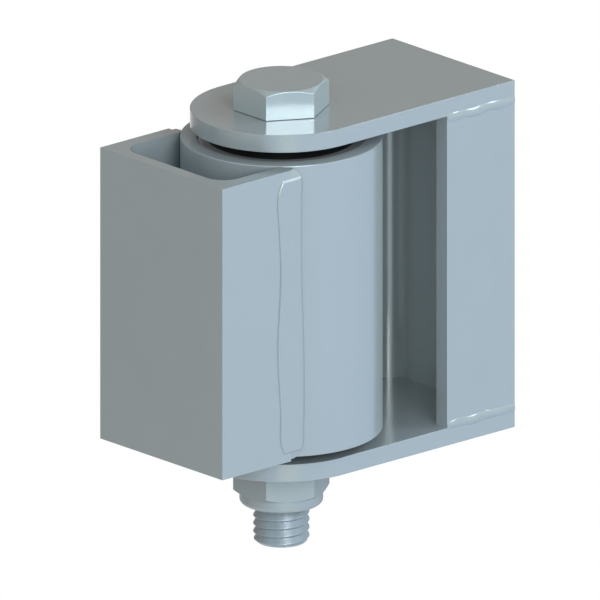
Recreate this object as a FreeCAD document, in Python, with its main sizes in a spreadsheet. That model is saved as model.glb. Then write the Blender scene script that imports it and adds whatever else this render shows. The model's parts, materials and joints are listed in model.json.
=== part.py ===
"""Weld-on ball bearing hinge for a gate or a heavy door.

A barrel welded to a short channel turns on two sealed ball bearings between the two plates of
a clevis, and a bolt with a lock nut clamps the clevis, the spacers and the inner rings together.

The model's frame: +Z is up along the hinge, the origin is the middle of the flat weld face at
the back of the post channel, and +X points out of that face. The hinge's axis is vertical, at
x = -pivot_to_post. The post channel's pocket opens towards -X and the gate channel's towards +X.
"""

import FreeCAD, Part
import enum
import math
import operator
import os
import types

import Sketcher

# The driving dimensions, in millimetres unless their names say degrees or count
SIZES = {
    # channels: one hollow-section width, slit lengthways, with a rounded inside
    "profile_width": 40.2,
    "web_thickness": 3.0,
    "flange_thickness": 3.5,
    "inside_radius": 5.0,
    "corner_radius": 0.1,
    "gate_flange": 20.3,
    "post_flange": 20.0,
    # barrel: a tube turned out at both ends for the bearings
    "barrel_length": 67.2,
    "barrel_seat_wall": 3.75,
    "barrel_shoulder": 1.25,
    "barrel_rim_radius": 0.2,
    "seat_mouth_chamfer": 0.3,
    # clevis: two plates with round ends over the pivot
    "plate_thickness": 4.05,
    "plate_edge_radius": 0.1,
    "end_gap": 2.4,
    "pivot_to_post": 50.9,
    "bolt_hole_play": 0.5,
    # bolt
    "bolt_diameter": 12.0,
    "bolt_play": 0.1,
    "bolt_length": 100.0,
    "bolt_tip_chamfer": 0.5,
    "head_across_flats": 18.65,
    "head_height": 6.55,
    "washer_face_height": 0.15,
    "washer_face_inset": 0.9,
    "head_crown_inset": 0.12,
    "hex_chamfer_degrees": 30.0,
    # lock nut with a round collar over a plastic insert
    "nut_across_flats": 18.75,
    "nut_height": 11.0,
    "nut_hex_height": 8.4,
    "nut_face_inset": 0.5,
    "collar_inset": 0.15,
    "collar_wall": 1.05,
    "collar_lip": 0.8,
    "collar_lip_width": 0.9,
    "collar_edge_radius": 1.1,
    "insert_height": 2.4,
    # deep-groove ball bearings with a seal on each side
    "bearing_outside": 37.0,
    "bearing_width": 12.0,
    "bearing_recess": 0.3,
    "inner_ring_thickness": 3.75,
    "outer_ring_thickness": 3.6,
    "ring_corner_radius": 0.6,
    "ball_diameter": 7.938,
    "ball_count": 6,
    "race_ratio": 0.52,
    "race_clearance": 0.05,
    "cage_sheet": 0.5,
    "cage_width": 2.2,
    "cage_clearance": 0.1,
    "rivet_diameter": 1.2,
    "rivet_head": 0.3,
    "seal_land": 2.0,
    "seal_seat_depth": 1.3,
    "seal_recess": 0.15,
    "seal_thickness": 0.8,
    "seal_bead_width": 0.6,
    "seal_lip_clearance": 0.1,
    # spacers between the plates and the inner rings, and between the two inner rings
    "spacer_wall": 3.0,
    # welds
    "weld_root_gap": 0.25,
    "weld_bevel": 1.0,
    "gate_weld_on_flange": 3.6,
    "gate_weld_cap": 6.6,
    "gate_weld_toe": 1.3,
    "gate_weld_sink": 0.1,
    "gate_weld_proud": 0.4,
    "gate_weld_root_depth": 3.0,
    "gate_weld_run_out": 2.4,
    "gate_weld_end_step": 0.4,
    "gate_weld_end_drop": 0.8,
    "gate_weld_narrowing": 1.2,
    "gate_weld_wave": 0.45,
    "gate_weld_wave_length": 35.5,
    "plate_weld_on_plate": 0.5,
    "plate_weld_on_flange": 1.6,
    "plate_weld_proud": 0.4,
    "plate_weld_wave": 0.15,
    "plate_weld_wave_length": 11.0,
}


class Point(enum.IntEnum):
    """Which point of a sketch's edge a constraint holds."""

    START = 1
    END = 2
    CENTRE = 3


class Axis(enum.IntEnum):
    """The edge number of a sketch's own axis, which starts at the sketch's origin."""

    HORIZONTAL = -1


class Turn(enum.Enum):
    """Which way an arc runs from its first corner to its second."""

    COUNTER_CLOCKWISE = "counter-clockwise"
    CLOCKWISE = "clockwise"


class Formula:
    """A number, with the sheet formula that keeps it tied to the driving dimensions."""

    def __init__(self, value, text):
        self.value = value
        self.text = text

    def joined(self, other, operation, sign):
        if not isinstance(other, Formula):
            other = Formula(other, f"({other})")
        return Formula(operation(self.value, other.value), f"({self.text} {sign} {other.text})")

    def __add__(self, other):
        return self.joined(other, operator.add, "+")

    def __sub__(self, other):
        return self.joined(other, operator.sub, "-")

    def __mul__(self, other):
        return self.joined(other, operator.mul, "*")

    def __truediv__(self, other):
        return self.joined(other, operator.truediv, "/")

    def __neg__(self):
        return Formula(-self.value, f"(0 - {self.text})")


def square_root(formula):
    return Formula(math.sqrt(formula.value), f"sqrt({formula.text})")


def tangent(degrees):
    return Formula(math.tan(math.radians(degrees.value)), f"tan({degrees.text} * 1 deg)")


ZERO = Formula(0.0, "0")

doc = FreeCAD.newDocument("ball_bearing_hinge")


def fill_sheet():
    """Puts the driving dimensions in the sheet, one row each: name, then value."""
    sheet = doc.addObject("Spreadsheet::Sheet", "sizes")
    for row, (name, value) in enumerate(SIZES.items(), 1):
        sheet.set(f"A{row}", name)
        sheet.set(f"B{row}", str(value))
        sheet.setAlias(f"B{row}", name)
    doc.recompute()
    return types.SimpleNamespace(
        **{name: Formula(float(sheet.get(name)), f"sizes.{name}") for name in SIZES}
    )


size = fill_sheet()

# Places and sizes that several pieces share, worked out from the driving dimensions
half_width = size.profile_width / 2
clevis_opening = size.barrel_length + size.end_gap * 2
clevis_half = clevis_opening / 2
clevis_top = clevis_half + size.plate_thickness
barrel_half = size.barrel_length / 2
bearing_radius = size.bearing_outside / 2
barrel_radius = bearing_radius + size.barrel_seat_wall
bolt_radius = size.bolt_diameter / 2
shank_radius = (size.bolt_diameter - size.bolt_play) / 2
bearing_face = barrel_half - size.bearing_recess
bearing_middle = bearing_face - size.bearing_width / 2
pitch_radius = (bearing_radius + bolt_radius) / 2
ball_radius = size.ball_diameter / 2
race_radius = size.ball_diameter * size.race_ratio
seal_seat_radius = bearing_radius - size.seal_land
inner_shoulder_radius = bolt_radius + size.inner_ring_thickness
outer_shoulder_radius = bearing_radius - size.outer_ring_thickness
spacer_radius = bolt_radius + size.spacer_wall
flange_inside = half_width - size.flange_thickness

# How far the gate channel's flange ends lie behind the pivot, where their inner corners
# stand the weld's root gap off the barrel
gate_flange_end = square_root(
    (barrel_radius + size.weld_root_gap) * (barrel_radius + size.weld_root_gap)
    - flange_inside * flange_inside
)
pivot_to_gate = gate_flange_end + size.gate_flange
pivot_x = -size.pivot_to_post


def bind(thing, prop, formula):
    thing.setExpression(prop, formula.text)


def new_body(name, x=ZERO, z=ZERO, turn=None):
    """A body at (x, 0, z), turned half round about the given axis if one is given."""
    body = doc.addObject("PartDesign::Body", name)
    body.Label = name
    if turn is not None:
        body.Placement = FreeCAD.Placement(
            FreeCAD.Vector(), FreeCAD.Rotation(FreeCAD.Vector(*turn), 180)
        )
    bind(body, "Placement.Base.x", x)
    bind(body, "Placement.Base.z", z)
    return body


def origin_item(body, role):
    return next(item for item in body.Origin.OriginFeatures if item.Role == role)


def new_sketch(body, plane, lift=ZERO):
    """A sketch on one of the body's own origin planes, lifted off it along its normal."""
    sketch = body.newObject("Sketcher::SketchObject", f"{body.Name}_sketch")
    sketch.AttachmentSupport = (origin_item(body, plane), [""])
    sketch.MapMode = "FlatFace"
    bind(sketch, "AttachmentOffset.Base.z", lift)
    return sketch


def pin_point(sketch, edge, point, x=None, y=None):
    """Dimensions a point from the sketch's origin, each dimension tied to the sheet."""
    for kind, distance in (("DistanceX", x), ("DistanceY", y)):
        if distance is None:
            continue
        number = sketch.addConstraint(
            Sketcher.Constraint(
                kind, Axis.HORIZONTAL, Point.START, edge, point, distance.value
            )
        )
        bind(sketch, f"Constraints[{number}]", distance)


def draw_outline(sketch, corners, arcs=None):
    """Draws a closed outline through corners. arcs gives, for the edge that starts at a
    corner's number, the arc's centre x and y and the way it runs."""
    arcs = arcs or {}
    first = sketch.GeometryCount
    count = len(corners)
    ends = []
    for i, (x, y) in enumerate(corners):
        next_x, next_y = corners[(i + 1) % count]
        if i not in arcs:
            sketch.addGeometry(
                Part.LineSegment(
                    FreeCAD.Vector(x.value, y.value, 0),
                    FreeCAD.Vector(next_x.value, next_y.value, 0),
                )
            )
            ends.append((Point.START, Point.END))
            continue
        centre_x, centre_y, way = arcs[i]
        from_angle = math.atan2(y.value - centre_y.value, x.value - centre_x.value)
        to_angle = math.atan2(next_y.value - centre_y.value, next_x.value - centre_x.value)
        if way == Turn.CLOCKWISE:
            from_angle, to_angle = to_angle, from_angle
        circle = Part.Circle(
            FreeCAD.Vector(centre_x.value, centre_y.value, 0),
            FreeCAD.Vector(0, 0, 1),
            math.hypot(x.value - centre_x.value, y.value - centre_y.value),
        )
        sketch.addGeometry(Part.ArcOfCircle(circle, from_angle, to_angle))
        if way == Turn.CLOCKWISE:
            ends.append((Point.END, Point.START))
        else:
            ends.append((Point.START, Point.END))
    for i, (x, y) in enumerate(corners):
        edge = first + i
        following = (i + 1) % count
        sketch.addConstraint(
            Sketcher.Constraint(
                "Coincident", edge, ends[i][1], first + following, ends[following][0]
            )
        )
        before = (i - 1) % count
        if before in arcs:
            # The arc that ends here fixes this corner's other coordinate
            across = abs(x.value - arcs[before][0].value)
            along = abs(y.value - arcs[before][1].value)
            if along >= across:
                y = None
            else:
                x = None
        pin_point(sketch, edge, ends[i][0], x, y)
        if i in arcs:
            pin_point(sketch, edge, Point.CENTRE, arcs[i][0], arcs[i][1])


def draw_circle(sketch, radius, x=ZERO, y=ZERO):
    number = sketch.addGeometry(
        Part.Circle(
            FreeCAD.Vector(x.value, y.value, 0), FreeCAD.Vector(0, 0, 1), radius.value
        )
    )
    pin_point(sketch, number, Point.CENTRE, x, y)
    constraint = sketch.addConstraint(Sketcher.Constraint("Radius", number, radius.value))
    bind(sketch, f"Constraints[{constraint}]", radius)


def draw_hexagon(sketch, across_flats):
    """A hexagon with two flats square to the sketch's x axis."""
    flat = across_flats / 2
    half_side = across_flats * (0.5 / math.sqrt(3))
    corner = half_side * 2
    draw_outline(
        sketch,
        [
            (flat, -half_side),
            (flat, half_side),
            (ZERO, corner),
            (-flat, half_side),
            (-flat, -half_side),
            (ZERO, -corner),
        ],
    )


def add_pad(body, sketch, length, side="One side", reverse=False):
    pad = body.newObject("PartDesign::Pad", f"{body.Name}_pad")
    pad.Profile = sketch
    pad.SideType = side
    pad.Reversed = reverse
    bind(pad, "Length", length)
    doc.recompute()
    return pad


def add_turning(body, sketch):
    """Turns a section drawn beside the vertical axis into a solid of revolution."""
    turning = body.newObject("PartDesign::Revolution", f"{body.Name}_turning")
    turning.Profile = sketch
    turning.ReferenceAxis = (sketch, ["V_Axis"])
    turning.Angle = 360
    doc.recompute()
    return turning


def check_removed(body, volume_before, feature):
    """Stops the build if a cut took nothing away."""
    if body.Shape.Volume >= volume_before:
        raise RuntimeError(f"{feature.Name} cuts nothing")


def add_groove(body, sketch):
    before = body.Shape.Volume
    groove = body.newObject("PartDesign::Groove", f"{body.Name}_groove")
    groove.Profile = sketch
    groove.ReferenceAxis = (sketch, ["V_Axis"])
    groove.Angle = 360
    doc.recompute()
    check_removed(body, before, groove)
    return groove


def add_polar_pattern(body, feature, count):
    pattern = body.newObject("PartDesign::PolarPattern", f"{body.Name}_pattern")
    pattern.Originals = [feature]
    pattern.Axis = (origin_item(body, "Z_Axis"), [""])
    pattern.Angle = 360
    bind(pattern, "Occurrences", count)
    body.Tip = pattern
    doc.recompute()
    return pattern


def edge_names(feature, wanted):
    """The names of the feature's edges that the test function accepts."""
    names = [f"Edge{i}" for i, edge in enumerate(feature.Shape.Edges, 1) if wanted(edge)]
    if not names:
        raise RuntimeError(f"{feature.Name} has no such edge")
    return names


def near(a, b):
    return abs(a - b) < 1e-4


def ring_edge(radius, *heights):
    """A test for round edges about the Z axis, of a radius and at any of some heights."""

    def wanted(edge):
        curve = edge.Curve
        return (
            isinstance(curve, Part.Circle)
            and near(curve.Radius, radius.value)
            and near(math.hypot(curve.Center.x, curve.Center.y), 0)
            and any(near(curve.Center.z, height.value) for height in heights)
        )

    return wanted


def add_fillet(body, feature, radius, wanted):
    fillet = body.newObject("PartDesign::Fillet", f"{body.Name}_fillet")
    fillet.Base = (feature, edge_names(feature, wanted))
    bind(fillet, "Radius", radius)
    doc.recompute()
    return fillet


def add_chamfer(body, feature, width, wanted):
    chamfer = body.newObject("PartDesign::Chamfer", f"{body.Name}_chamfer")
    chamfer.Base = (feature, edge_names(feature, wanted))
    bind(chamfer, "Size", width)
    doc.recompute()
    return chamfer


def make_channel(name, flange, height, x, turn=None):
    """A channel whose web's outer face is at its own x = 0 and whose pocket opens to -X."""
    body = new_body(name, x=x, turn=turn)
    sketch = new_sketch(body, "XY_Plane")
    draw_outline(
        sketch,
        [
            (ZERO, -half_width),
            (ZERO, half_width),
            (-flange, half_width),
            (-flange, flange_inside),
            (-size.web_thickness, flange_inside),
            (-size.web_thickness, -flange_inside),
            (-flange, -flange_inside),
            (-flange, -half_width),
        ],
    )
    pad = add_pad(body, sketch, height, side="Symmetric")

    def inside_corner(edge):
        middle = edge.CenterOfMass
        return (
            near(middle.x, -size.web_thickness.value)
            and near(abs(middle.y), flange_inside.value)
            and near(middle.z, 0)
        )

    return body, add_fillet(body, pad, size.inside_radius, inside_corner)


def make_gate_channel():
    body, inside = make_channel(
        "gate_channel",
        size.gate_flange,
        size.barrel_length,
        x=pivot_x - pivot_to_gate,
        turn=(0, 0, 1),
    )

    def outside_corner(edge):
        middle = edge.CenterOfMass
        return near(middle.x, 0) and near(abs(middle.y), half_width.value) and near(middle.z, 0)

    add_fillet(body, inside, size.corner_radius, outside_corner)
    return body


def make_post_channel():
    """The post channel, with its flanges' outer edges bevelled for the welds to the plates."""
    body, inside = make_channel("post_channel", size.post_flange, clevis_opening, x=ZERO)

    def flange_end_edge(edge):
        middle = edge.CenterOfMass
        return (
            near(abs(middle.y), half_width.value)
            and near(abs(middle.z), clevis_half.value)
            and near(middle.x, -size.post_flange.value / 2)
        )

    add_chamfer(body, inside, size.weld_bevel, flange_end_edge)
    return body


def make_plate(name, z):
    """A clevis plate from the round end over the pivot to the post channel's weld face."""
    body = new_body(name, x=pivot_x, z=z)
    sketch = new_sketch(body, "XY_Plane")
    draw_outline(
        sketch,
        [
            (ZERO, half_width),
            (ZERO, -half_width),
            (size.pivot_to_post, -half_width),
            (size.pivot_to_post, half_width),
        ],
        arcs={0: (ZERO, ZERO, Turn.COUNTER_CLOCKWISE)},
    )
    draw_circle(sketch, (size.bolt_diameter + size.bolt_hole_play) / 2)
    pad = add_pad(body, sketch, size.plate_thickness)

    def long_rim(edge):
        box = edge.BoundBox
        return (
            near(box.ZLength, 0)
            and box.YMax - box.YMin < size.profile_width.value + 1e-4
            and near(max(abs(box.YMin), abs(box.YMax)), half_width.value)
            and not near(box.XMin, size.pivot_to_post.value)
        )

    add_fillet(body, pad, size.plate_edge_radius, long_rim)
    return body


def make_barrel():
    body = new_body("barrel_tube", x=pivot_x)
    bore = bearing_radius - size.barrel_shoulder
    seat = bearing_face - size.bearing_width
    sketch = new_sketch(body, "XZ_Plane")
    draw_outline(
        sketch,
        [
            (barrel_radius, -barrel_half),
            (barrel_radius, barrel_half),
            (bearing_radius, barrel_half),
            (bearing_radius, seat),
            (bore, seat),
            (bore, -seat),
            (bearing_radius, -seat),
            (bearing_radius, -barrel_half),
        ],
    )
    turning = add_turning(body, sketch)
    rims = add_fillet(
        body,
        turning,
        size.barrel_rim_radius,
        ring_edge(barrel_radius, barrel_half, -barrel_half),
    )
    add_chamfer(
        body,
        rims,
        size.seat_mouth_chamfer,
        ring_edge(bearing_radius, barrel_half, -barrel_half),
    )
    return body


def add_hex_chamfer(body, across_flats, face_radius, z, towards):
    """Cuts the 30 degree cone that rounds a hexagon's corners at height z. towards is the
    sign of the way from that face into the hexagon."""
    reach = across_flats * (1.05 / math.sqrt(3))
    drop = (reach - face_radius) * tangent(size.hex_chamfer_degrees)
    sketch = new_sketch(body, "XZ_Plane")
    draw_outline(
        sketch,
        [(face_radius, z), (reach, z), (reach, z + drop * towards)],
    )
    return add_groove(body, sketch)


def make_bolt():
    """The hexagon bolt, from the top of its head at its own z = head_height to its tip."""
    body = new_body("hinge_bolt", x=pivot_x, z=clevis_top)
    head = new_sketch(body, "XY_Plane", lift=size.washer_face_height)
    draw_hexagon(head, size.head_across_flats)
    add_pad(body, head, size.head_height - size.washer_face_height)
    crown_radius = size.head_across_flats / 2 - size.head_crown_inset
    add_hex_chamfer(body, size.head_across_flats, crown_radius, size.head_height, -1)
    washer_face = new_sketch(body, "XY_Plane")
    draw_circle(washer_face, size.head_across_flats / 2 - size.washer_face_inset)
    add_pad(body, washer_face, size.washer_face_height)
    shank = new_sketch(body, "XY_Plane")
    draw_circle(shank, shank_radius)
    pad = add_pad(body, shank, size.bolt_length, reverse=True)
    add_chamfer(body, pad, size.bolt_tip_chamfer, ring_edge(shank_radius, -size.bolt_length))
    return body


def make_nut():
    """The lock nut, hanging below its bearing face at its own z = 0."""
    body = new_body("lock_nut", x=pivot_x, z=-clevis_top)
    collar_radius = size.nut_across_flats / 2 - size.collar_inset
    hexagon = new_sketch(body, "XY_Plane")
    draw_hexagon(hexagon, size.nut_across_flats)
    add_pad(body, hexagon, size.nut_hex_height, reverse=True)
    face_radius = size.nut_across_flats / 2 - size.nut_face_inset
    add_hex_chamfer(body, size.nut_across_flats, face_radius, ZERO, -1)
    add_hex_chamfer(body, size.nut_across_flats, collar_radius, -size.nut_hex_height, 1)
    collar = new_sketch(body, "XY_Plane", lift=-size.nut_hex_height)
    draw_circle(collar, collar_radius)
    pad = add_pad(body, collar, size.nut_height - size.nut_hex_height, reverse=True)
    add_fillet(
        body, pad, size.collar_edge_radius, ring_edge(collar_radius, -size.nut_height)
    )
    pocket_top = size.collar_lip + size.insert_height - size.nut_height
    pocket_bottom = size.collar_lip - size.nut_height
    insert_radius = collar_radius - size.collar_wall
    lip_radius = insert_radius - size.collar_lip_width
    cavity = new_sketch(body, "XZ_Plane")
    draw_outline(
        cavity,
        [
            (ZERO, ZERO),
            (bolt_radius, ZERO),
            (bolt_radius, pocket_top),
            (insert_radius, pocket_top),
            (insert_radius, pocket_bottom),
            (lip_radius, pocket_bottom),
            (lip_radius, -size.nut_height),
            (ZERO, -size.nut_height),
        ],
    )
    add_groove(body, cavity)

    insert = new_body("nut_insert", x=pivot_x, z=pocket_bottom - clevis_top)
    add_ring(insert, bolt_radius, insert_radius, size.insert_height)
    return body, insert


def add_ring(body, inside, outside, height, side="One side"):
    sketch = new_sketch(body, "XY_Plane")
    draw_circle(sketch, outside)
    draw_circle(sketch, inside)
    return add_pad(body, sketch, height, side=side)


def make_spacers():
    """A ring between each plate and the inner ring beside it, and the sleeve between the
    two inner rings: with the bolt tight, they carry the clamping load."""
    ring_height = size.end_gap + size.bearing_recess
    upper = new_body("upper_spacer_ring", x=pivot_x, z=bearing_face)
    add_ring(upper, bolt_radius, spacer_radius, ring_height)
    lower = new_body("lower_spacer_ring", x=pivot_x, z=-clevis_half)
    add_ring(lower, bolt_radius, spacer_radius, ring_height)
    sleeve = new_body("spacer_sleeve", x=pivot_x)
    sleeve_length = (bearing_face - size.bearing_width) * 2
    add_ring(sleeve, bolt_radius, spacer_radius, sleeve_length, side="Symmetric")
    return upper, lower, sleeve


def make_inner_ring(name, z):
    body = new_body(name, x=pivot_x, z=z)
    half = size.bearing_width / 2
    groove_centre = pitch_radius - ball_radius - size.race_clearance + race_radius
    reach = groove_centre - inner_shoulder_radius
    groove_half = square_root(race_radius * race_radius - reach * reach)
    sketch = new_sketch(body, "XZ_Plane")
    draw_outline(
        sketch,
        [
            (bolt_radius, -half),
            (inner_shoulder_radius, -half),
            (inner_shoulder_radius, -groove_half),
            (inner_shoulder_radius, groove_half),
            (inner_shoulder_radius, half),
            (bolt_radius, half),
        ],
        arcs={2: (groove_centre, ZERO, Turn.CLOCKWISE)},
    )
    turning = add_turning(body, sketch)
    add_fillet(body, turning, size.ring_corner_radius, ring_edge(bolt_radius, half, -half))
    return body


def make_outer_ring(name, z):
    body = new_body(name, x=pivot_x, z=z)
    half = size.bearing_width / 2
    seat = half - size.seal_seat_depth
    groove_centre = pitch_radius + ball_radius + size.race_clearance - race_radius
    reach = outer_shoulder_radius - groove_centre
    groove_half = square_root(race_radius * race_radius - reach * reach)
    sketch = new_sketch(body, "XZ_Plane")
    draw_outline(
        sketch,
        [
            (bearing_radius, -half),
            (bearing_radius, half),
            (seal_seat_radius, half),
            (seal_seat_radius, seat),
            (outer_shoulder_radius, seat),
            (outer_shoulder_radius, groove_half),
            (outer_shoulder_radius, -groove_half),
            (outer_shoulder_radius, -seat),
            (seal_seat_radius, -seat),
            (seal_seat_radius, -half),
        ],
        arcs={5: (groove_centre, ZERO, Turn.CLOCKWISE)},
    )
    turning = add_turning(body, sketch)
    add_fillet(body, turning, size.ring_corner_radius, ring_edge(bearing_radius, half, -half))
    return body


def make_balls(name, z):
    """The balls, as separate solids round the pitch circle."""
    body = new_body(name, x=pivot_x, z=z)
    body.AllowCompound = True
    ball = body.newObject("PartDesign::AdditiveSphere", f"{name}_ball")
    ball.AttachmentSupport = (origin_item(body, "XY_Plane"), [""])
    ball.MapMode = "FlatFace"
    bind(ball, "Radius", ball_radius)
    bind(ball, "AttachmentOffset.Base.x", pitch_radius)
    doc.recompute()
    add_polar_pattern(body, ball, size.ball_count)
    return body


def make_cage(name, z):
    """A ribbon cage: two pressed strips that bulge round each ball and are riveted flat
    against each other between the balls."""
    body = new_body(name, x=pivot_x, z=z)
    inside = pitch_radius - size.cage_width / 2
    outside = pitch_radius + size.cage_width / 2
    pocket_radius = ball_radius + size.cage_clearance
    bulge_radius = pocket_radius + size.cage_sheet
    strips = size.cage_sheet * 2
    add_ring(body, inside, outside, strips, side="Symmetric")

    rivet = new_sketch(body, "XY_Plane")
    half_step = math.pi / size.ball_count.value
    draw_circle(
        rivet,
        size.rivet_diameter / 2,
        x=pitch_radius * math.cos(half_step),
        y=pitch_radius * math.sin(half_step),
    )
    rivet_pad = add_pad(body, rivet, strips + size.rivet_head * 2, side="Symmetric")
    add_polar_pattern(body, rivet_pad, size.ball_count)

    bulge = new_sketch(body, "YZ_Plane")
    draw_circle(bulge, bulge_radius)
    bulge_pad = add_pad(body, bulge, outside + size.cage_width)
    add_polar_pattern(body, bulge_pad, size.ball_count)

    pocket = new_sketch(body, "YZ_Plane")
    draw_circle(pocket, pocket_radius)
    before = body.Shape.Volume
    hole = body.newObject("PartDesign::Pocket", f"{name}_pocket")
    hole.Profile = pocket
    hole.Reversed = True
    bind(hole, "Length", outside * 2)
    doc.recompute()
    check_removed(body, before, hole)
    add_polar_pattern(body, hole, size.ball_count)

    trim = new_sketch(body, "XZ_Plane")
    clear = bulge_radius * 2
    for from_radius, to_radius in ((ZERO, inside), (outside, outside + clear)):
        draw_outline(
            trim,
            [
                (from_radius, -clear),
                (to_radius, -clear),
                (to_radius, clear),
                (from_radius, clear),
            ],
        )
    add_groove(body, trim)
    return body


def make_seal(name, z, turn=None):
    """A rubber seal in the outer ring's seat, modelled below the bearing's face at z = 0.
    Its lip stands a running clearance off the inner ring."""
    body = new_body(name, x=pivot_x, z=z, turn=turn)
    lip_radius = inner_shoulder_radius + size.seal_lip_clearance
    back = size.seal_recess + size.seal_thickness
    sketch = new_sketch(body, "XZ_Plane")
    draw_outline(
        sketch,
        [
            (seal_seat_radius, -size.seal_recess),
            (seal_seat_radius, -size.seal_seat_depth),
            (seal_seat_radius - size.seal_bead_width, -size.seal_seat_depth),
            (seal_seat_radius - size.seal_bead_width * 1.5, -back),
            (lip_radius + size.seal_thickness, -back),
            (lip_radius, -back + size.seal_thickness / 4),
            (lip_radius, -size.seal_recess - size.seal_thickness / 4),
            (lip_radius + size.seal_thickness / 3, -size.seal_recess),
        ],
    )
    add_turning(body, sketch)
    return body


def make_bearing(place, middle):
    """The pieces of one bearing. place is upper or lower, and middle its height."""
    half = size.bearing_width / 2
    return [
        make_inner_ring(f"{place}_inner_ring", middle),
        make_outer_ring(f"{place}_outer_ring", middle),
        make_balls(f"{place}_balls", middle),
        make_cage(f"{place}_cage", middle),
        make_seal(f"{place}_bearing_top_seal", middle + half),
        make_seal(f"{place}_bearing_bottom_seal", middle - half, turn=(1, 0, 0)),
    ]


def wave(distance, length, phase):
    """A smooth wobble between -1 and 1, with a crest that part of a wave past zero."""
    return math.cos(2 * math.pi * (distance / length - phase))


def weld_loft(sections):
    return Part.makeLoft([Part.Wire(edges) for edges in sections], True)


def gate_weld_edges(height, side, foot_phase, toe_phase):
    """The weld's section at a height, seen in plan about the pivot: it lies on the gate
    channel's flange, bridges the gap and ends on the barrel. side is 1 at the front (-Y)."""
    flange_end = -gate_flange_end.value
    face = half_width.value
    proud = size.gate_weld_proud.value
    swing = size.gate_weld_wave.value
    length = size.gate_weld_wave_length.value
    run_out = size.gate_weld_run_out.value
    root = face - size.gate_weld_root_depth.value
    past = max(0.0, abs(height) - barrel_half.value + run_out * 2) / run_out
    narrowing = size.gate_weld_narrowing.value * past**1.3
    toe_narrowing = narrowing * (0.1 + max(0.0, past - 1) ** 1.5)

    left = flange_end - size.gate_weld_on_flange.value
    foot = left - swing * wave(height, length, foot_phase) + narrowing
    cap_end = left + size.gate_weld_cap.value - toe_narrowing
    cap_end -= swing * 0.75 * wave(height, length * 2, toe_phase)
    toe = cap_end + size.gate_weld_toe.value
    toe_depth = math.sqrt(barrel_radius.value**2 - toe**2) - size.gate_weld_sink.value

    def at(x, depth):
        return FreeCAD.Vector(x, -side * depth, height)

    foot_low = at(foot, face - size.gate_weld_sink.value)
    rise = at(foot + proud * 0.3, face + proud * 0.7)
    cap_from = at(foot + proud * 1.5, face + proud)
    cap_to = at(cap_end - proud * 1.5, face + proud)
    fall = at(cap_end, face + proud * 0.6)
    toe_low = at(toe, toe_depth)
    return [
        Part.makeLine(at(foot, root), foot_low),
        Part.Arc(foot_low, rise, cap_from).toShape(),
        Part.makeLine(cap_from, cap_to),
        Part.Arc(cap_to, fall, toe_low).toShape(),
        Part.makeLine(toe_low, at(toe, root)),
        Part.makeLine(at(toe, root), at(foot, root)),
    ]


def run_out_wedge(side, way):
    """What is cut off the gate weld at its top (way 1) or bottom (way -1): its cap ends in
    a short step, and the rest slopes back towards the barrel's rim."""
    step = size.gate_weld_end_step.value
    drop = size.gate_weld_end_drop.value
    rise = size.gate_weld_run_out.value
    crest = half_width.value + size.gate_weld_proud.value
    start = barrel_half.value - rise
    reach = size.profile_width.value
    corners = [
        FreeCAD.Vector(-reach, -side * depth, way * height)
        for depth, height in (
            (crest + step, start - step),
            (crest - step, start + step),
            (crest - step - drop * 2, start + step + (rise - step) * 2),
            (crest + step, start + step + (rise - step) * 2),
        )
    ]
    outline = Part.makePolygon(corners + corners[:1])
    return Part.Face(outline).extrude(FreeCAD.Vector(reach, 0, 0))


def make_gate_weld(name, side, foot_phase, toe_phase, neighbours):
    """The weld bead along a flange of the gate channel. Its sections crowd towards its ends,
    where it narrows."""
    tip = barrel_half.value - size.barrel_rim_radius.value
    stations = 16
    bead = weld_loft(
        [
            gate_weld_edges(
                -tip * math.cos(math.pi * i / stations), side, foot_phase, toe_phase
            )
            for i in range(stations + 1)
        ]
    )
    for way in (1, -1):
        bead = bead.cut(run_out_wedge(side, way))
    return add_weld(name, bead, neighbours)


def plate_weld_edges(distance, side, level, phase):
    """The section of the weld between a plate and a flange, at a distance along the flange
    from its end. level is 1 at the top plate and -1 at the bottom one."""
    length = size.post_flange.value
    swing = size.plate_weld_wave.value
    wave_length = size.plate_weld_wave_length.value
    taper = 1 - abs(2 * distance / length - 1) ** 6
    on_plate = size.plate_weld_on_plate.value * (0.5 + 0.5 * taper)
    on_plate += swing * taper * wave(distance, wave_length, phase)
    on_flange = size.plate_weld_on_flange.value * (0.75 + 0.25 * taper)
    on_flange += swing * taper * wave(distance, wave_length * 0.7, phase * 0.7)
    proud = size.plate_weld_proud.value * (0.3 + 0.7 * taper)
    proud += swing * 0.5 * taper * wave(distance, wave_length * 0.55, phase * 1.8)
    face = half_width.value
    back = face - size.weld_bevel.value * 1.2
    x = size.pivot_to_post.value - length + distance

    def at(depth, height):
        return FreeCAD.Vector(x, -side * depth, level * (clevis_half.value + height))

    middle = (on_plate - on_flange) / 2
    return [
        Part.makeLine(at(back, -on_flange), at(face, -on_flange)),
        Part.Arc(at(face, -on_flange), at(face + proud, middle), at(face, on_plate)).toShape(),
        Part.makeLine(at(face, on_plate), at(back, on_plate)),
        Part.makeLine(at(back, on_plate), at(back, -on_flange)),
    ]


def make_plate_weld(name, side, level, phase, neighbours):
    stations = 14
    length = size.post_flange.value
    bead = weld_loft(
        [
            plate_weld_edges(length * i / stations, side, level, phase)
            for i in range(stations + 1)
        ]
    )
    return add_weld(name, bead, neighbours)


def add_weld(name, bead, neighbours):
    """Cuts the neighbours out of a bead drawn about the pivot, so that it lies on them face
    to face, and adds it to the document at the pivot."""
    to_pivot = FreeCAD.Vector(-pivot_x.value, 0, 0)
    for neighbour in neighbours:
        bead = bead.cut(neighbour.Shape.translated(to_pivot))
    weld = doc.addObject("Part::Feature", name)
    weld.Label = name
    weld.Shape = max(bead.Solids, key=lambda piece: piece.Volume)
    bind(weld, "Placement.Base.x", pivot_x)
    return weld


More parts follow.
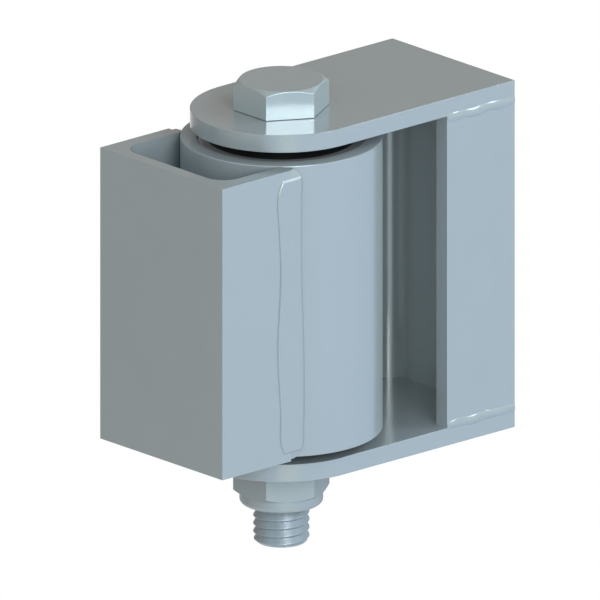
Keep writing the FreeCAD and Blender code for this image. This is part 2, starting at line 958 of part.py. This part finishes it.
def make_welds(gate_channel, barrel, post_channel, plates):
    welds = [
        make_gate_weld("weld_gate_front", 1, -0.2, 0.25, [gate_channel, barrel]),
        make_gate_weld("weld_gate_rear", -1, 0.11, -0.3, [gate_channel, barrel]),
    ]
    phase = 0.18
    for plate, level, place in ((plates[0], 1, "top"), (plates[1], -1, "bottom")):
        for side, face in ((1, "front"), (-1, "rear")):
            neighbours = [post_channel, plate]
            welds.append(
                make_plate_weld(f"weld_{place}_{face}", side, level, phase, neighbours)
            )
            phase += 0.23
    return welds


def make_hinge():
    gate_channel = make_gate_channel()
    post_channel = make_post_channel()
    plates = [make_plate("top_plate", clevis_half), make_plate("bottom_plate", -clevis_top)]
    barrel = make_barrel()
    pieces = [gate_channel, post_channel, *plates, barrel, make_bolt(), *make_nut()]
    pieces += make_spacers()
    pieces += make_bearing("upper", bearing_middle)
    pieces += make_bearing("lower", -bearing_middle)
    doc.recompute()
    pieces += make_welds(gate_channel, barrel, post_channel, plates)
    doc.recompute()
    return pieces


def check_document(pieces):
    """Stops before anything is written if a feature failed or a piece isn't a sound solid."""
    for thing in doc.Objects:
        if "Invalid" in thing.State or "Error" in thing.State:
            raise RuntimeError(f"{thing.Name} did not build: {thing.State}")
    for piece in pieces:
        if piece.Shape.isNull() or not piece.Shape.isValid() or not piece.Shape.Solids:
            raise RuntimeError(f"{piece.Label} is not a sound solid")


def write_steps(pieces):
    os.makedirs("parts", exist_ok=True)
    for piece in pieces:
        piece.Shape.exportStep(f"parts/{piece.Label}.step")
        solids = len(piece.Shape.Solids)
        print(f"{piece.Label}: {solids} solid(s), {piece.Shape.Volume:.1f} mm3")


hinge_pieces = make_hinge()
check_document(hinge_pieces)
write_steps(hinge_pieces)
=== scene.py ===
"""Looks for the weld-on ball bearing hinge: satin zinc over steel, in a plain pale studio.

Lengths are in metres. +Z is up along the pivot, and the photograph looks from -X, -Y and a
little above. Front is -Y, and right and left are those of the photograph.
"""

import json
import math

import bmesh
import bpy
from mathutils import Matrix, Vector


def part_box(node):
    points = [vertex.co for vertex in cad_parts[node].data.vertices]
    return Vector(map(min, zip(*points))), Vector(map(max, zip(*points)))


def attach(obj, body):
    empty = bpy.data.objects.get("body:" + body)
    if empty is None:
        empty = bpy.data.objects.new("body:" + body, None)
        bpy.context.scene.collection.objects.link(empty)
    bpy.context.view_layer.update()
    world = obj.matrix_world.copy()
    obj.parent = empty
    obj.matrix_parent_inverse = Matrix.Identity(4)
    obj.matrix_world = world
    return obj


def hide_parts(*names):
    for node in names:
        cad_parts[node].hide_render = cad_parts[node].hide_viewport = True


MM = 0.001

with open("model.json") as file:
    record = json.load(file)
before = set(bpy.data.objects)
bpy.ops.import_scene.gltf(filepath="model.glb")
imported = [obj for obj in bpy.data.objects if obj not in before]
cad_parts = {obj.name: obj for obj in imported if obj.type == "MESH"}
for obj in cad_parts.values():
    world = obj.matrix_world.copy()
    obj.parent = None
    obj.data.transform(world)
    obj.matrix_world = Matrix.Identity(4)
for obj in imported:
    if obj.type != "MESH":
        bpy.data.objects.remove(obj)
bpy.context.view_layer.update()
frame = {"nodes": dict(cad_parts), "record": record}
nodes = frame["nodes"]

# The middle of the barrel, on the pivot's axis
barrel_low, barrel_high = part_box("barrel_tube")
pivot = (barrel_low + barrel_high) / 2


# Camera

# The photograph's direction of view in degrees, and its width, at 4.5525 pixels to the millimetre
VIEW_AZIMUTH = -42.0
VIEW_ELEVATION = 18.0
VIEW_WIDTH = 131.8 * MM
# Where the middle of the picture is, seen from the pivot
VIEW_RIGHT_OF_PIVOT = 4.11 * MM
VIEW_BELOW_PIVOT = 4.277 * MM
CAMERA_DISTANCE = 0.8
CAMERA_REACH = 10.0


def view_axes():
    """The view's right, up and back directions."""
    turn = math.radians(VIEW_AZIMUTH)
    lift = math.radians(VIEW_ELEVATION)
    right = Vector((math.cos(turn), math.sin(turn), 0))
    back = Vector(
        (math.sin(turn) * math.cos(lift), -math.cos(turn) * math.cos(lift), math.sin(lift))
    )
    return right, back.cross(right), back


def make_camera():
    data = bpy.data.cameras.new("view")
    data.type = "ORTHO"
    data.ortho_scale = VIEW_WIDTH
    data.clip_end = CAMERA_REACH
    camera = bpy.data.objects.new("view", data)
    bpy.context.scene.collection.objects.link(camera)
    right, up, back = view_axes()
    target = pivot + right * VIEW_RIGHT_OF_PIVOT - up * VIEW_BELOW_PIVOT
    turn = Matrix((right, up, back)).transposed()
    place = Matrix.Translation(target + back * CAMERA_DISTANCE)
    camera.matrix_world = place @ turn.to_4x4()
    bpy.context.scene.camera = camera


# Node trees

# A Mix node's sockets for colours go by number, as its sockets for plain numbers have their names
MIX_A = 6
MIX_B = 7
MIX_RESULT = 2


def new_tree(owner):
    owner.use_nodes = True
    owner.node_tree.nodes.clear()
    return owner.node_tree


def add_node(tree, kind, **settings):
    """A node whose sockets and properties are set by their names."""
    node = tree.nodes.new(kind)
    for name, value in settings.items():
        if name in node.inputs:
            node.inputs[name].default_value = value
        else:
            setattr(node, name, value)
    return node


def link(tree, source, socket):
    tree.links.new(source, socket)


# Studio

# To the camera and the metal, the floor is white behind the hinge, pale blue in front with a
# whiter streak, light grey on the right and a warm light grey on the left
WHITE = (1.0, 1.0, 1.0, 1.0)
FLOOR_FRONT = (0.63, 0.78, 1.0, 1.0)
FLOOR_STREAK = (0.9, 1.0, 1.0, 1.0)
FLOOR_RIGHT = (0.43, 0.44, 0.45, 1.0)
FLOOR_LEFT = (0.39, 0.33, 0.31, 1.0)
# The grey that sends the light of the lamps and the room back up to the hinge
FLOOR_GREY = (0.6, 0.6, 0.6, 1.0)
FLOOR_DROP = 0.25
FLOOR_HALF_WIDTH = 6.0

# The room above is pale in front, a warm light grey behind and light grey overhead
ROOM_FRONT = (0.76, 0.89, 0.91, 1.0)
ROOM_BACK = (0.39, 0.33, 0.285, 1.0)
ROOM_OVERHEAD = (0.40, 0.40, 0.38, 1.0)

# Where one tone turns into another: a direction, and how far along it the turn begins and ends.
# On the floor that is in metres from the frame's origin, and in the room 1 is straight that way
TO_THE_RIGHT = (Vector((0.743, -0.669, 0.0)), 0.06, 0.25)
INTO_THE_STREAK = (Vector((0.839, -0.545, 0.0)), -0.3, -0.12)
OUT_OF_THE_STREAK = (Vector((0.839, -0.545, 0.0)), 0.02, 0.22)
TO_THE_FRONT = (Vector((0.0, -1.0, 0.0)), -0.25, 0.05)
TO_THE_LEFT = (Vector((-0.77, 0.64, 0.0)), 0.08, 0.75)
TO_THE_BACK = (Vector((0.0, 1.0, 0.15)), 0.15, 0.65)
OVERHEAD = (Vector((0.0, 0.0, 1.0)), 0.5, 0.95)

LAMP_DISTANCE = 1.2
COOL_LIGHT = (0.93, 0.95, 1.00)
COLD_LIGHT = (0.88, 0.94, 1.0)
WARM_LIGHT = (1.00, 0.88, 0.60)


def grade(tree, place, turn, near, far):
    """A colour that is near before the turn and far after it."""
    towards, begin, end = turn
    along = add_node(tree, "ShaderNodeVectorMath", operation="DOT_PRODUCT")
    link(tree, place, along.inputs[0])
    along.inputs[1].default_value = towards
    share = add_node(tree, "ShaderNodeMapRange", interpolation_type="SMOOTHSTEP")
    share.inputs["From Min"].default_value = begin
    share.inputs["From Max"].default_value = end
    link(tree, along.outputs["Value"], share.inputs["Value"])
    colour = add_node(tree, "ShaderNodeMix", data_type="RGBA")
    for socket, end_colour in ((colour.inputs[MIX_A], near), (colour.inputs[MIX_B], far)):
        if isinstance(end_colour, tuple):
            socket.default_value = end_colour
        else:
            link(tree, end_colour, socket)
    link(tree, share.outputs["Result"], colour.inputs["Factor"])
    return colour.outputs[MIX_RESULT]


def seen_or_mirrored(tree):
    """1 for a ray from the camera, off something glossy or through glass, and 0 for the rest."""
    path = add_node(tree, "ShaderNodeLightPath")
    shown = path.outputs["Is Camera Ray"]
    for ray in ("Is Glossy Ray", "Is Transmission Ray"):
        either = add_node(tree, "ShaderNodeMath", operation="MAXIMUM")
        link(tree, shown, either.inputs[0])
        link(tree, path.outputs[ray], either.inputs[1])
        shown = either.outputs[0]
    return shown


def floor_material():
    """Evenly bright paper without shadows to the camera and the metal, and else a lit grey."""
    material = bpy.data.materials.new("floor")
    tree = new_tree(material)
    spot = add_node(tree, "ShaderNodeTexCoord").outputs["Object"]
    paper = grade(tree, spot, TO_THE_RIGHT, WHITE, FLOOR_RIGHT)
    front = grade(tree, spot, INTO_THE_STREAK, FLOOR_FRONT, FLOOR_STREAK)
    front = grade(tree, spot, OUT_OF_THE_STREAK, front, FLOOR_FRONT)
    paper = grade(tree, spot, TO_THE_FRONT, paper, front)
    paper = grade(tree, spot, TO_THE_LEFT, paper, FLOOR_LEFT)
    lit = add_node(tree, "ShaderNodeBsdfDiffuse", Color=FLOOR_GREY)
    glow = add_node(tree, "ShaderNodeEmission", Strength=1.0)
    link(tree, paper, glow.inputs["Color"])
    mix = add_node(tree, "ShaderNodeMixShader")
    link(tree, seen_or_mirrored(tree), mix.inputs[0])
    link(tree, lit.outputs[0], mix.inputs[1])
    link(tree, glow.outputs[0], mix.inputs[2])
    out = add_node(tree, "ShaderNodeOutputMaterial")
    link(tree, mix.outputs[0], out.inputs["Surface"])
    return material


def make_floor():
    """A wide pale floor below the hinge."""
    mesh = bpy.data.meshes.new("floor")
    half = FLOOR_HALF_WIDTH
    corners = [(-half, -half), (half, -half), (half, half), (-half, half)]
    mesh.from_pydata([(x, y, -FLOOR_DROP) for x, y in corners], [], [(0, 1, 2, 3)])
    mesh.materials.append(floor_material())
    floor = bpy.data.objects.new("floor", mesh)
    bpy.context.scene.collection.objects.link(floor)


def make_room():
    world = bpy.data.worlds.new("room")
    bpy.context.scene.world = world
    tree = new_tree(world)
    way = add_node(tree, "ShaderNodeTexCoord").outputs["Generated"]
    room = grade(tree, way, TO_THE_BACK, ROOM_FRONT, ROOM_BACK)
    room = grade(tree, way, OVERHEAD, room, ROOM_OVERHEAD)
    back = add_node(tree, "ShaderNodeBackground", Strength=1.0)
    link(tree, room, back.inputs["Color"])
    out = add_node(tree, "ShaderNodeOutputWorld")
    link(tree, back.outputs[0], out.inputs["Surface"])


def add_softbox(name, away, width, height, radiance, colour):
    """A soft lamp that faces the hinge from one side, of an even radiance over its area."""
    data = bpy.data.lights.new(name, "AREA")
    data.shape = "RECTANGLE"
    data.size = width
    data.size_y = height
    data.energy = radiance * math.pi * width * height
    data.color = colour
    lamp = bpy.data.objects.new(name, data)
    bpy.context.scene.collection.objects.link(lamp)
    away = Vector(away).normalized()
    turn = away.to_track_quat("Z", "Y").to_matrix()
    lamp.matrix_world = Matrix.Translation(pivot + away * LAMP_DISTANCE) @ turn.to_4x4()


def make_lamps():
    # In front, a little above: the bolt's flat and the plate below it mirror this one
    add_softbox(
        "front_softbox", away=(-0.294, -0.904, 0.37), width=0.5, height=0.4,
        radiance=7.9, colour=COOL_LIGHT,
    )
    # Front right, higher: the upper sides of the weld beads mirror this one
    add_softbox(
        "right_softbox", away=(0.55, -0.52, 0.65), width=0.5, height=0.3,
        radiance=4.5, colour=COLD_LIGHT,
    )
    # Front left, low: it lights what stands back between the plates
    add_softbox(
        "low_softbox", away=(-0.55, -0.8, 0.22), width=0.8, height=0.5,
        radiance=1.9, colour=WARM_LIGHT,
    )


# Materials

ZINC = (0.41, 0.47, 0.505)
BARREL_ZINC = (0.42, 0.48, 0.525)
BRIGHT_ZINC = (0.43, 0.50, 0.53)
BEARING_STEEL = (0.27, 0.30, 0.31)
RING_STEEL = (0.40, 0.39, 0.39)
CAGE_STEEL = (0.45, 0.46, 0.48)
BALL_STEEL = (0.70, 0.71, 0.73)
SEAL_BLACK = (0.004, 0.005, 0.007)
NYLON_WHITE = (0.72, 0.74, 0.74)

# Noise cells to the metre: the fine grain of the metal, and the clouds in its tone
METAL_GRAIN = 900.0
METAL_CLOUDS = 108.0
# How far the tone wanders to either side, as a share of itself
METAL_TONE = 0.025
SOFT_TONE = 0.15
# How far the roughness of rubber and nylon wanders to either side
SOFT_GLOSS = 0.06
GRAIN_HEIGHT = 0.2 * MM

# The bolt's thread is painted darker and a little bluer, as painted shade of its grooves, and
# made rougher, where this attribute of its mesh is 1
THREAD_SHADE_MASK = "thread_shaded"
THREAD_SHADE_TINT = (0.76, 0.77, 0.84, 1.0)
THREAD_DULLNESS = 0.1


def wandering_tone(tree, noise, colour, spread):
    """The colour, a little darker and lighter from place to place."""
    tone = add_node(tree, "ShaderNodeMix", data_type="RGBA")
    tone.inputs[MIX_A].default_value = (*[c * (1 - spread) for c in colour], 1)
    tone.inputs[MIX_B].default_value = (*[min(1, c * (1 + spread)) for c in colour], 1)
    link(tree, noise.outputs["Fac"], tone.inputs["Factor"])
    return tone.outputs[MIX_RESULT]


def wandering_gloss(tree, noise, roughness, spread):
    """The roughness, a little less and more from place to place."""
    gloss = add_node(tree, "ShaderNodeMapRange")
    gloss.inputs["To Min"].default_value = roughness - spread
    gloss.inputs["To Max"].default_value = roughness + spread
    link(tree, noise.outputs["Fac"], gloss.inputs["Value"])
    return gloss.outputs["Result"]


def add_surface(tree, noise, tone, gloss, bump, metallic, specular):
    """The shader of a surface that the noise makes uneven."""
    uneven = add_node(tree, "ShaderNodeBump", Strength=bump, Distance=GRAIN_HEIGHT)
    link(tree, noise.outputs["Fac"], uneven.inputs["Height"])
    surface = add_node(tree, "ShaderNodeBsdfPrincipled", Metallic=metallic)
    surface.inputs["Specular IOR Level"].default_value = specular
    link(tree, tone, surface.inputs["Base Color"])
    link(tree, gloss, surface.inputs["Roughness"])
    link(tree, uneven.outputs["Normal"], surface.inputs["Normal"])
    out = add_node(tree, "ShaderNodeOutputMaterial")
    link(tree, surface.outputs[0], out.inputs["Surface"])


def painted_thread_shade(tree, tone, gloss):
    """The tone and the roughness, darker and duller where the mesh marks the thread: the darker
    tone is painted shade of the thread's grooves.
    """
    shade_mask = add_node(tree, "ShaderNodeAttribute", attribute_name=THREAD_SHADE_MASK)
    shaded_tone = add_node(tree, "ShaderNodeMix", data_type="RGBA", blend_type="MULTIPLY")
    shaded_tone.inputs[MIX_B].default_value = THREAD_SHADE_TINT
    link(tree, shade_mask.outputs["Fac"], shaded_tone.inputs["Factor"])
    link(tree, tone, shaded_tone.inputs[MIX_A])
    duller = add_node(tree, "ShaderNodeMath", operation="MULTIPLY_ADD")
    duller.inputs[1].default_value = THREAD_DULLNESS
    link(tree, shade_mask.outputs["Fac"], duller.inputs[0])
    link(tree, gloss, duller.inputs[2])
    return shaded_tone.outputs[MIX_RESULT], duller.outputs[0]


def metal(
    name, colour, roughness,
    metallic=0.35, specular=0.5, grain=0.03, bump=0.02, fineness=(1, 1, 1), thread_shaded=False,
):
    """Coated or bare steel, with clouds in its tone and a fine grain in its gloss.

    grain is how far the roughness wanders to either side, bump is how strong the unevenness is,
    and fineness is how much finer the noise is along X, Y and Z.
    """
    material = bpy.data.materials.new(name)
    tree = new_tree(material)
    place = add_node(tree, "ShaderNodeTexCoord")
    fit = add_node(tree, "ShaderNodeMapping")
    fit.inputs["Scale"].default_value = fineness
    link(tree, place.outputs["Object"], fit.inputs["Vector"])
    clouds = add_node(tree, "ShaderNodeTexNoise", Scale=METAL_CLOUDS, Detail=4.0, Roughness=0.6)
    fine = add_node(tree, "ShaderNodeTexNoise", Scale=METAL_GRAIN, Detail=3.0, Roughness=0.5)
    link(tree, fit.outputs[0], clouds.inputs["Vector"])
    link(tree, fit.outputs[0], fine.inputs["Vector"])
    tone = wandering_tone(tree, clouds, colour, METAL_TONE)
    gloss = wandering_gloss(tree, fine, roughness, grain)
    # Painted shade on the thread: a darker, bluer tone, and a higher roughness
    if thread_shaded:
        tone, gloss = painted_thread_shade(tree, tone, gloss)
    add_surface(tree, fine, tone, gloss, bump, metallic, specular)
    return material


def soft_material(name, colour, roughness, scale, bump):
    """Rubber or nylon: a grained, unmetallic surface."""
    material = bpy.data.materials.new(name)
    tree = new_tree(material)
    place = add_node(tree, "ShaderNodeTexCoord")
    noise = add_node(tree, "ShaderNodeTexNoise", Scale=scale, Detail=5.0, Roughness=0.6)
    link(tree, place.outputs["Object"], noise.inputs["Vector"])
    tone = wandering_tone(tree, noise, colour, SOFT_TONE)
    gloss = wandering_gloss(tree, noise, roughness, SOFT_GLOSS)
    add_surface(tree, noise, tone, gloss, bump, metallic=0.0, specular=0.5)
    return material


def make_materials():
    """The finish of each material slot that the record names."""
    return {
        "channel_steel": metal("zinc_channel", ZINC, 0.2),
        "plate_steel": metal("zinc_plate", ZINC, 0.18),
        "barrel_steel": metal(
            "zinc_barrel", BARREL_ZINC, 0.2, specular=0.0, fineness=(1, 1, 0.15)
        ),
        "weld_steel": metal("zinc_weld", ZINC, 0.18, bump=0.05),
        # The bolt's thread is painted darker, as painted shade of its grooves
        "bolt_steel": metal("zinc_bolt", BRIGHT_ZINC, 0.2, thread_shaded=True),
        "nut_steel": metal("zinc_nut", ZINC, 0.24, specular=0.0),
        "spacer_steel": metal("plain_spacer", BEARING_STEEL, 0.3),
        "bearing_steel": metal("ground_ring", RING_STEEL, 0.18, fineness=(1, 1, 8)),
        "cage_steel": metal("pressed_cage", CAGE_STEEL, 0.35),
        "ball_steel": metal("polished_ball", BALL_STEEL, 0.06, metallic=0.9, grain=0.01),
        "seal_rubber": soft_material("seal_rubber", SEAL_BLACK, 0.62, scale=1500.0, bump=0.1),
        "insert_plastic": soft_material(
            "nylon_insert", NYLON_WHITE, 0.45, scale=800.0, bump=0.05
        ),
    }


def dress_nodes(materials):
    """Gives each CAD node its finish, by the slot that the record names."""
    for part in frame["record"]["subparts"]:
        node = nodes[part["node"]]
        material = materials[part["material_slot"]]
        if node.material_slots:
            for slot in node.material_slots:
                slot.material = material
        else:
            node.data.materials.append(material)


# Bolt

bolt_low, bolt_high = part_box("hinge_bolt")
plate_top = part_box("top_plate")[1].z
nut_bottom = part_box("lock_nut")[0].z

# The head is a hexagon with flats square to X, chamfered down from a round crown
HALF_FLATS = (bolt_high.x - bolt_low.x) / 2
CROWN_RADIUS = HALF_FLATS - 0.12 * MM
HEX_CHAMFER = math.radians(30)
# The edge between the chamfer and the flats is rounded: its width, and in shares of that how far
# in and down its middle is, and how far down a row of faces ends that keeps the flats flat
EDGE = 0.11 * MM
EDGE_MIDDLE_IN = 0.3
EDGE_MIDDLE_DOWN = 0.2
EDGE_ROW_DOWN = 1.6
WASHER_RADIUS = HALF_FLATS - 0.9 * MM
WASHER_TOP = plate_top + 0.15 * MM

# The thread starts at the tip. Its ridges stand as far out as the shank inside the nut, which
# they clear, and a little further below it
THREAD_PITCH = 1.85 * MM
THREAD_LENGTH = 30.0 * MM
THREAD_TOP = bolt_low.z + THREAD_LENGTH
THREAD_DEPTH = 0.67 * MM
SHANK_RADIUS = 5.95 * MM
CREST_RADIUS = 6.2 * MM
TIP_CHAMFER = 0.8 * MM
# In turns, how far round the bolt the groove starts
THREAD_PHASE = 0.9
# In shares of the pitch, up from the groove's root: where the ridge's steep lower flank ends,
# and where its crest ends
THREAD_STEEP_END = 0.29
THREAD_CREST_END = 0.35

BOLT_SIDES = 120
RINGS_PER_PITCH = 24
# How far the faces turn at a sharp edge, at the least: anywhere, and on the thread's ridges
SHARP_ANGLE = math.radians(26)
RIDGE_ANGLE = math.radians(50)
# A height that is next to nothing
TINY = 1e-6


def hexagon(angle):
    """How far out the head's flats are at an angle."""
    off = (angle + math.pi / 6) % (math.pi / 3) - math.pi / 6
    return HALF_FLATS / math.cos(off)


def chamfer(angle, inset):
    """A point of the head's chamfer, that far in from the flats: its radius and height."""
    out = hexagon(angle) - inset
    return out, bolt_high.z - max(0.0, out - CROWN_RADIUS) * math.tan(HEX_CHAMFER)


def groove(turns):
    """How deep the thread's groove is: 1 at its root and 0 on its crest."""
    share = turns % 1.0
    if share < THREAD_STEEP_END:
        return 1 - share / THREAD_STEEP_END
    return max(0.0, share - THREAD_CREST_END) / (1 - THREAD_CREST_END)


def thread_radius(angle, z):
    """The thread's radius, which fades into the shank's over its last pitch."""
    deep = groove(z / THREAD_PITCH - angle / (2 * math.pi) + THREAD_PHASE)
    fade = min(1.0, max(0.0, (THREAD_TOP - z) / THREAD_PITCH))
    outside = SHANK_RADIUS if z > nut_bottom else CREST_RADIUS
    return min(outside - THREAD_DEPTH * deep * fade, CREST_RADIUS - TIP_CHAMFER + z - bolt_low.z)


def bolt_outline(angle):
    """The bolt's outline at an angle, from the head down to the tip: its radii and heights."""
    flat = hexagon(angle)
    flat_top = chamfer(angle, 0)[1]
    outline = [
        (CROWN_RADIUS, bolt_high.z),
        chamfer(angle, EDGE),
        (flat - EDGE_MIDDLE_IN * EDGE, flat_top - EDGE_MIDDLE_DOWN * EDGE),
        (flat, flat_top - EDGE),
        (flat, flat_top - EDGE_ROW_DOWN * EDGE),
        (flat, WASHER_TOP),
        (WASHER_RADIUS, WASHER_TOP),
        (WASHER_RADIUS, plate_top),
        (SHANK_RADIUS, plate_top),
        (SHANK_RADIUS, THREAD_TOP + THREAD_PITCH),
    ]
    steps = int(THREAD_LENGTH / THREAD_PITCH * RINGS_PER_PITCH)
    for step in range(steps + 1):
        z = THREAD_TOP - THREAD_LENGTH * step / steps
        outline.append((thread_radius(angle, z), z))
    return outline


def bolt_skin():
    """The closed skin round the pivot's axis, through the bolt's outlines."""
    angles = [2 * math.pi * side / BOLT_SIDES for side in range(BOLT_SIDES)]
    build = bmesh.new()
    rows = []
    for ring in zip(*[bolt_outline(angle) for angle in angles]):
        row = []
        for angle, (radius, z) in zip(angles, ring):
            spot = (pivot.x + radius * math.cos(angle), pivot.y + radius * math.sin(angle), z)
            row.append(build.verts.new(spot))
        rows.append(row)
    for upper, lower in zip(rows, rows[1:]):
        for side in range(BOLT_SIDES):
            after = (side + 1) % BOLT_SIDES
            build.faces.new((upper[side], lower[side], lower[after], upper[after]))
    build.faces.new(rows[0])
    build.faces.new(list(reversed(rows[-1])))
    bmesh.ops.recalc_face_normals(build, faces=build.faces)
    return build


def shade_bolt(build):
    """Makes all faces smooth, and those edges sharp at which they turn far enough."""
    for face in build.faces:
        face.smooth = True
    for line in build.edges:
        top = max(vert.co.z for vert in line.verts)
        on_ridge = bolt_low.z + TINY < top < THREAD_TOP and line.is_convex
        line.smooth = line.calc_face_angle(0) < (RIDGE_ANGLE if on_ridge else SHARP_ANGLE)


def make_bolt(material):
    """The hinge bolt with its thread, in place of the plain one."""
    build = bolt_skin()
    shade_bolt(build)
    mesh = bpy.data.meshes.new("threaded_bolt")
    build.to_mesh(mesh)
    build.free()
    # Marks the thread, which the bolt's material paints darker as painted shade of its grooves
    thread_shaded = mesh.attributes.new(THREAD_SHADE_MASK, "FLOAT", "POINT")
    for vert, share in zip(mesh.vertices, thread_shaded.data):
        share.value = 1.0 if vert.co.z < THREAD_TOP else 0.0
    mesh.materials.append(material)
    bolt = bpy.data.objects.new("threaded_bolt", mesh)
    bpy.context.scene.collection.objects.link(bolt)
    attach(bolt, "clevis")
    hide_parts("hinge_bolt")


# Scene


bpy.context.scene.view_settings.view_transform = "Standard"
make_camera()
make_floor()
make_room()
make_lamps()
finishes = make_materials()
dress_nodes(finishes)
make_bolt(finishes["bolt_steel"])
